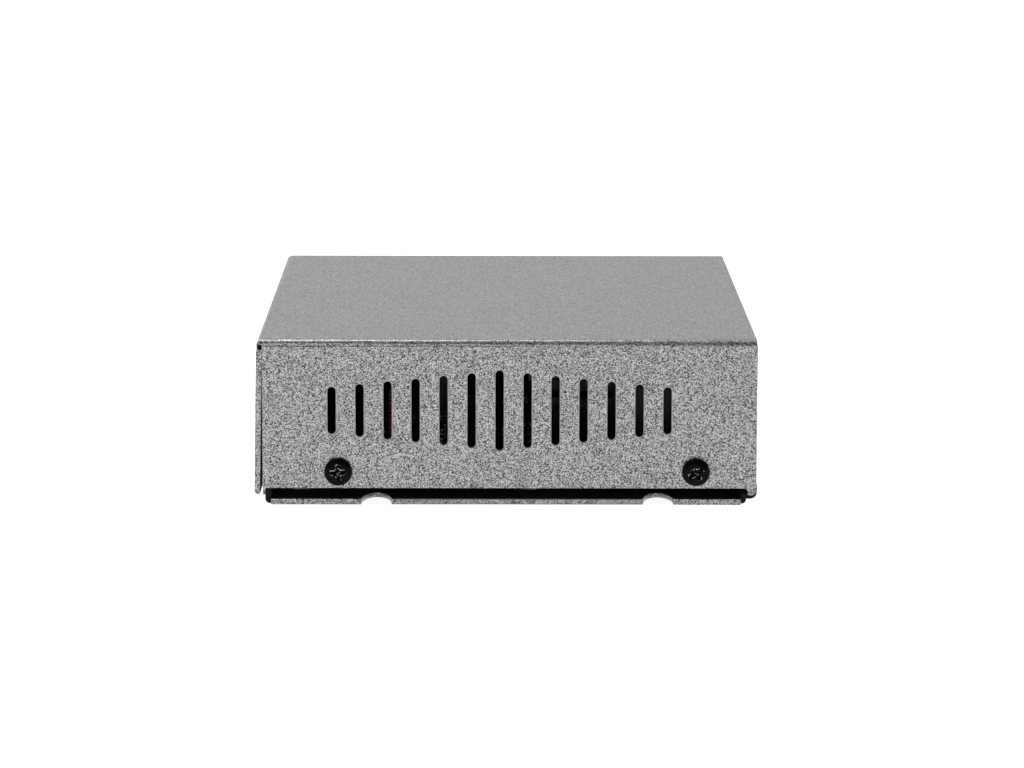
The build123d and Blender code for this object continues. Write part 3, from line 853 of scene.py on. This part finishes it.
def wire_tree():
    """A wire wound round a ring of rectangular section that stands across X."""
    tree, given, result = new_tree(
        "winding",
        {
            "Turns": "Int", "Wire": "Float", "Mean Radius": "Float", "Radial Reach": "Float",
            "Axial Reach": "Float", "Gap": "Float", "Centre": "Vector", "Material": "Material",
        },
    )
    line = tree.nodes.new("GeometryNodeCurvePrimitiveLine")
    finer = tree.nodes.new("GeometryNodeResampleCurve")
    tree.links.new(line.outputs["Curve"], finer.inputs["Curve"])
    count = calc(tree, "MULTIPLY", given.outputs["Turns"], WIRE_STEPS)
    tree.links.new(count, finer.inputs["Count"])
    along = tree.nodes.new("GeometryNodeSplineParameter").outputs["Factor"]
    wound = calc(tree, "MULTIPLY", calc(tree, "MULTIPLY", along, given.outputs["Turns"]), 2 * math.pi)
    cosine, sine = calc(tree, "COSINE", wound), calc(tree, "SINE", wound)
    square = calc(
        tree, "ADD",
        calc(tree, "POWER", calc(tree, "ABSOLUTE", cosine), WIRE_SQUARENESS),
        calc(tree, "POWER", calc(tree, "ABSOLUTE", sine), WIRE_SQUARENESS),
    )
    swell = calc(tree, "POWER", square, -1 / WIRE_SQUARENESS)
    radial = calc(
        tree, "MULTIPLY_ADD", calc(tree, "MULTIPLY", cosine, swell),
        given.outputs["Radial Reach"], given.outputs["Mean Radius"],
    )
    axial = calc(
        tree, "MULTIPLY", calc(tree, "MULTIPLY", sine, swell), given.outputs["Axial Reach"]
    )
    sweep = calc(tree, "SUBTRACT", 2 * math.pi, given.outputs["Gap"])
    angle = calc(
        tree, "MULTIPLY_ADD", along, sweep, calc(tree, "MULTIPLY", given.outputs["Gap"], 0.5)
    )
    place = tree.nodes.new("ShaderNodeCombineXYZ")
    tree.links.new(axial, place.inputs["X"])
    tree.links.new(calc(tree, "MULTIPLY", radial, calc(tree, "COSINE", angle)), place.inputs["Y"])
    tree.links.new(calc(tree, "MULTIPLY", radial, calc(tree, "SINE", angle)), place.inputs["Z"])
    moved = tree.nodes.new("ShaderNodeVectorMath")
    tree.links.new(place.outputs["Vector"], moved.inputs[0])
    tree.links.new(given.outputs["Centre"], moved.inputs[1])
    bent = tree.nodes.new("GeometryNodeSetPosition")
    tree.links.new(finer.outputs["Curve"], bent.inputs["Geometry"])
    tree.links.new(moved.outputs["Vector"], bent.inputs["Position"])
    circle = tree.nodes.new("GeometryNodeCurvePrimitiveCircle")
    circle.inputs["Resolution"].default_value = WIRE_SIDES
    tree.links.new(calc(tree, "MULTIPLY", given.outputs["Wire"], 0.5), circle.inputs["Radius"])
    tube = tree.nodes.new("GeometryNodeCurveToMesh")
    tube.inputs["Fill Caps"].default_value = True
    tree.links.new(bent.outputs["Geometry"], tube.inputs["Curve"])
    tree.links.new(circle.outputs["Curve"], tube.inputs["Profile Curve"])
    smooth = tree.nodes.new("GeometryNodeSetShadeSmooth")
    tree.links.new(tube.outputs["Mesh"], smooth.inputs["Geometry"])
    finish_tree(tree, given, result, smooth.outputs["Geometry"])
    return tree


def painted_sheet(name, node):
    """A copy of a folded sheet whose cut edges are rounded by its paint."""
    shape = bmesh.new()
    shape.from_mesh(frame["nodes"][node].data)
    bmesh.ops.remove_doubles(shape, verts=shape.verts, dist=WELD)
    bmesh.ops.dissolve_limit(
        shape, angle_limit=SAME_FACE_ANGLE, verts=shape.verts, edges=shape.edges
    )
    weigh_edges(shape)
    result = rounded_sheet(shape, name, settings().paint.edge)
    result.name = name
    high = cover_box[1]
    # Faces inside the case and the feet's recessed edges are marked for a near-black painted shade
    mark_faces(result, "lining", [gets_inside_shade(polygon, high) for polygon in result.polygons])
    soften(result)
    piece = new_piece(name, result, "case_paint")
    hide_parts(node)
    return piece


# Operators


class EXTENDER_OT_camera(bpy.types.Operator):
    """Sets the camera in front of the vented side"""

    bl_idname = "extender.camera"
    bl_label = "Camera"

    def execute(self, context):
        data = bpy.data.cameras.new("camera")
        data.sensor_width = SENSOR_WIDTH
        data.lens = FOCAL_PIXELS / IMAGE_WIDTH * SENSOR_WIDTH
        data.clip_start = CLIP_NEAR
        data.clip_end = CLIP_FAR
        camera = bpy.data.objects.new("camera", data)
        camera.location = CAMERA_PLACE
        turn = Matrix.Rotation(-CAMERA_YAW, 3, "Z")
        tilt = Matrix.Rotation(math.pi / 2 - CAMERA_PITCH, 3, "X")
        roll = Matrix.Rotation(CAMERA_ROLL, 3, "Z")
        camera.rotation_euler = (turn @ tilt @ roll).to_euler()
        context.scene.collection.objects.link(camera)
        context.scene.camera = camera
        return {"FINISHED"}


class EXTENDER_OT_finishes(bpy.types.Operator):
    """Makes the materials and gives each part of the frame its own"""

    bl_idname = "extender.finishes"
    bl_label = "Finishes"

    def execute(self, context):
        finishes = make_materials()
        for part in frame["record"]["subparts"]:
            set_finish(frame["nodes"][part["node"]], finishes[part["material_slot"]])
        return {"FINISHED"}


class EXTENDER_OT_sheets(bpy.types.Operator):
    """Makes the painted cover and the painted tray"""

    bl_idname = "extender.sheets"
    bl_label = "Cover and tray"

    def execute(self, context):
        painted_sheet("painted_cover", "top_cover")
        painted_sheet("painted_tray", "base_tray")
        return {"FINISHED"}


class EXTENDER_OT_screws(bpy.types.Operator):
    """Makes the black side screws and the board's screws"""

    bl_idname = "extender.screws"
    bl_label = "Screws"

    def execute(self, context):
        low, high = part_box("side_screws")
        seat = cad_high.y - SIDE_HEAD_HEIGHT
        height = (low.z + high.z) / 2
        places = []
        xs = (low.x + SIDE_HEAD_RADIUS, high.x - SIDE_HEAD_RADIUS)
        for x, turn in zip(xs, SIDE_SCREW_TURNS):
            for side in (-1, 1):
                tilt = Matrix.Rotation(-side * math.pi / 2, 3, "X")
                places.append(((x, side * seat, height), tilt @ Matrix.Rotation(turn, 3, "Z")))
        template = screw_template(
            SIDE_SHANK_RADIUS, SIDE_SCREW_LENGTH, SIDE_HEAD_RADIUS, SIDE_HEAD_HEIGHT
        )
        piece = place_copies("side_pan_screws", places, template, "screw_black")
        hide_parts("side_screws")
        low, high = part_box("board_screws")
        xs = (low.x + BOARD_HEAD_RADIUS, high.x - BOARD_HEAD_RADIUS)
        ys = (low.y + BOARD_HEAD_RADIUS, high.y - BOARD_HEAD_RADIUS)
        seat = high.z - BOARD_HEAD_HEIGHT
        turn = Matrix.Rotation(BOARD_SCREW_TURN, 3, "Z")
        template = screw_template(
            BOARD_SHANK_RADIUS, seat - low.z, BOARD_HEAD_RADIUS, BOARD_HEAD_HEIGHT
        )
        places = [((x, y, seat), turn) for x in xs for y in ys]
        piece = place_copies("board_pan_screws", places, template, "plated_steel")
        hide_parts("board_screws")
        return {"FINISHED"}


class EXTENDER_OT_choke(bpy.types.Operator):
    """Winds the enamelled wire round the choke's ring"""

    bl_idname = "extender.choke"
    bl_label = "Choke winding"

    def execute(self, context):
        choke = settings().choke
        low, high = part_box("choke_core")
        outer = (high.z - low.z) / 2
        inner = outer * CHOKE_HOLE_SHARE
        values = {
            "Turns": choke.turns,
            "Wire": choke.wire,
            "Mean Radius": (outer + inner) / 2,
            "Radial Reach": (outer - inner + choke.wire) / 2,
            "Axial Reach": (high.x - low.x + choke.wire) / 2,
            "Gap": CHOKE_GAP,
            "Centre": (low + high) / 2,
        }
        base = bpy.data.meshes.new("winding")
        piece = grow("choke_wire", base, wire_tree(), values, "enamel_wire")
        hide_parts("choke_winding")
        return {"FINISHED"}


class EXTENDER_OT_leads(bpy.types.Operator):
    """Makes the leads of the chips and the tinned ends of the small parts"""

    bl_idname = "extender.leads"
    bl_label = "Leads and tinned ends"

    def execute(self, context):
        for node, axis, count, pitch, width, rise in LEADS:
            places = lead_places(solid_boxes(node), axis, count, pitch)
            name = f"{node}_leads_{axis.lower()}"
            place_copies(name, places, lead_template(width, rise), "plated_steel")
        boxes = solid_boxes("chip_parts")
        first_low, first_high = boxes[0]
        skin = Vector((0.0, 2 * CAP_SKIN, CAP_SKIN))
        size = Vector((CAP_LENGTH, first_high.y - first_low.y, first_high.z - first_low.z)) + skin
        inset = CAP_LENGTH / 2 - CAP_SKIN
        straight = Matrix.Identity(3)
        places = [
            ((x, (low.y + high.y) / 2, low.z), straight)
            for low, high in boxes
            for x in (low.x + inset, high.x - inset)
        ]
        place_copies("chip_part_ends", places, cap_template(size), "plated_steel")
        return {"FINISHED"}


class EXTENDER_OT_stage(bpy.types.Operator):
    """Sets the floor, the backdrop and the lamps"""

    bl_idname = "extender.stage"
    bl_label = "Stage"

    def execute(self, context):
        stage = settings().stage
        make_floor(stage.floor_size)
        make_world()
        make_lamp("key_lamp", stage.key_power, *KEY_LAMP)
        make_lamp("front_lamp", stage.front_power, *FRONT_LAMP)
        context.scene.view_settings.view_transform = "Standard"
        return {"FINISHED"}


def white_to_camera(tree, strength):
    """Emission that only the camera and mirror-like or clear surfaces see."""
    path = tree.nodes.new("ShaderNodeLightPath")
    seen = calc(tree, "MAXIMUM", path.outputs["Is Camera Ray"], path.outputs["Is Glossy Ray"])
    seen = calc(tree, "MAXIMUM", seen, path.outputs["Is Transmission Ray"])
    return calc(tree, "MULTIPLY", seen, strength)


def clear_below(tree, shader):
    """Lets the case be seen through the floor from underneath."""
    side = tree.nodes.new("ShaderNodeNewGeometry")
    clear = tree.nodes.new("ShaderNodeBsdfTransparent")
    both = tree.nodes.new("ShaderNodeMixShader")
    tree.links.new(side.outputs["Backfacing"], both.inputs[0])
    tree.links.new(shader.outputs["BSDF"], both.inputs[1])
    tree.links.new(clear.outputs["BSDF"], both.inputs[2])
    tree.links.new(both.outputs["Shader"], tree.nodes["Material Output"].inputs["Surface"])


def make_floor(size):
    """A pale floor that curves up behind the case, far enough away not to be seen as a wall."""
    shape = bmesh.new()
    half = size / 2
    rows = [(-half, 0.0)]
    for i in range(BACKDROP_STEPS + 1):
        angle = math.pi / 2 * i / BACKDROP_STEPS
        y = BACKDROP_START + BACKDROP_RADIUS * math.sin(angle)
        rows.append((y, BACKDROP_RADIUS * (1 - math.cos(angle))))
    rows.append((BACKDROP_START + BACKDROP_RADIUS, half))
    rows = [(y, z - FLOOR_GAP) for y, z in rows]
    left = [shape.verts.new((-half, y, z)) for y, z in rows]
    right = [shape.verts.new((half, y, z)) for y, z in rows]
    for i in range(len(rows) - 1):
        shape.faces.new((left[i], right[i], right[i + 1], left[i + 1]))
    floor = bpy.data.objects.new("floor", mesh_from(shape, "floor"))
    bpy.context.scene.collection.objects.link(floor)
    material, tree, shader = new_material("floor_white")
    pale = ramp(tree, noise(tree, 3.0), (0.80, 0.80, 0.80), (0.82, 0.82, 0.82))
    tree.links.new(pale, shader.inputs["Base Color"])
    shader.inputs["Roughness"].default_value = 0.9
    shader.inputs["Specular IOR Level"].default_value = 0.1
    shader.inputs["Emission Color"].default_value = WHITE
    place = tree.nodes.new("ShaderNodeTexCoord")
    split = tree.nodes.new("ShaderNodeSeparateXYZ")
    tree.links.new(place.outputs["Object"], split.inputs["Vector"])
    glow = span(tree, split.outputs["Z"], FLOOR_GLOW, BACKDROP_GLOW, end=BACKDROP_GLOW_HEIGHT)
    tree.links.new(white_to_camera(tree, glow), shader.inputs["Emission Strength"])
    clear_below(tree, shader)
    set_finish(floor, material)


def make_world():
    """White to the camera, and a faint even light to everything else."""
    world = bpy.data.worlds.new("studio")
    bpy.context.scene.world = world
    world.use_nodes = True
    tree = world.node_tree
    background = tree.nodes["Background"]
    background.inputs["Color"].default_value = WHITE
    path = tree.nodes.new("ShaderNodeLightPath")
    place = tree.nodes.new("ShaderNodeTexCoord")
    split = tree.nodes.new("ShaderNodeSeparateXYZ")
    tree.links.new(place.outputs["Generated"], split.inputs["Vector"])
    walls = span(tree, split.outputs["Z"], WALL_GLOW, 0.0, *WALL_FADE)
    mirrored = calc(tree, "MULTIPLY", path.outputs["Is Glossy Ray"], walls)
    seen = calc(tree, "MULTIPLY", path.outputs["Is Camera Ray"], 1.0 - SKY_GLOW)
    total = calc(tree, "ADD", calc(tree, "ADD", mirrored, seen), SKY_GLOW)
    tree.links.new(total, background.inputs["Strength"])


def make_lamp(name, power, size, place):
    """A soft square lamp that aims at the case."""
    data = bpy.data.lights.new(name, "AREA")
    data.shape = "SQUARE"
    data.size = size
    data.energy = power
    lamp = bpy.data.objects.new(name, data)
    lamp.location = place
    lamp.rotation_euler = (-Vector(place)).to_track_quat("-Z", "Y").to_euler()
    bpy.context.scene.collection.objects.link(lamp)


class EXTENDER_PT_panel(bpy.types.Panel):
    """The extender's pieces and stage"""

    bl_idname = "EXTENDER_PT_panel"
    bl_label = "Power extender"
    bl_space_type = "VIEW_3D"
    bl_region_type = "UI"
    bl_category = PANEL_TAB

    def draw(self, context):
        for operator in OPERATORS:
            self.layout.operator(operator.bl_idname, text=operator.bl_label)


OPERATORS = (
    EXTENDER_OT_camera,
    EXTENDER_OT_finishes,
    EXTENDER_OT_sheets,
    EXTENDER_OT_screws,
    EXTENDER_OT_choke,
    EXTENDER_OT_leads,
    EXTENDER_OT_stage,
)
CLASSES = (
    CasePaintSettings,
    ScrewSettings,
    ChokeSettings,
    StageSettings,
    ExtenderSettings,
    *OPERATORS,
    EXTENDER_PT_panel,
)


def register():
    for cls in CLASSES:
        bpy.utils.register_class(cls)
    bpy.types.Scene.extender = PointerProperty(type=ExtenderSettings)


def unregister():
    del bpy.types.Scene.extender
    for cls in reversed(CLASSES):
        bpy.utils.unregister_class(cls)


def main():
    register()
    bpy.ops.extender.camera()
    bpy.ops.extender.finishes()
    bpy.ops.extender.sheets()
    bpy.ops.extender.screws()
    bpy.ops.extender.choke()
    bpy.ops.extender.leads()
    bpy.ops.extender.stage()


if __name__ == "__main__":
    main()
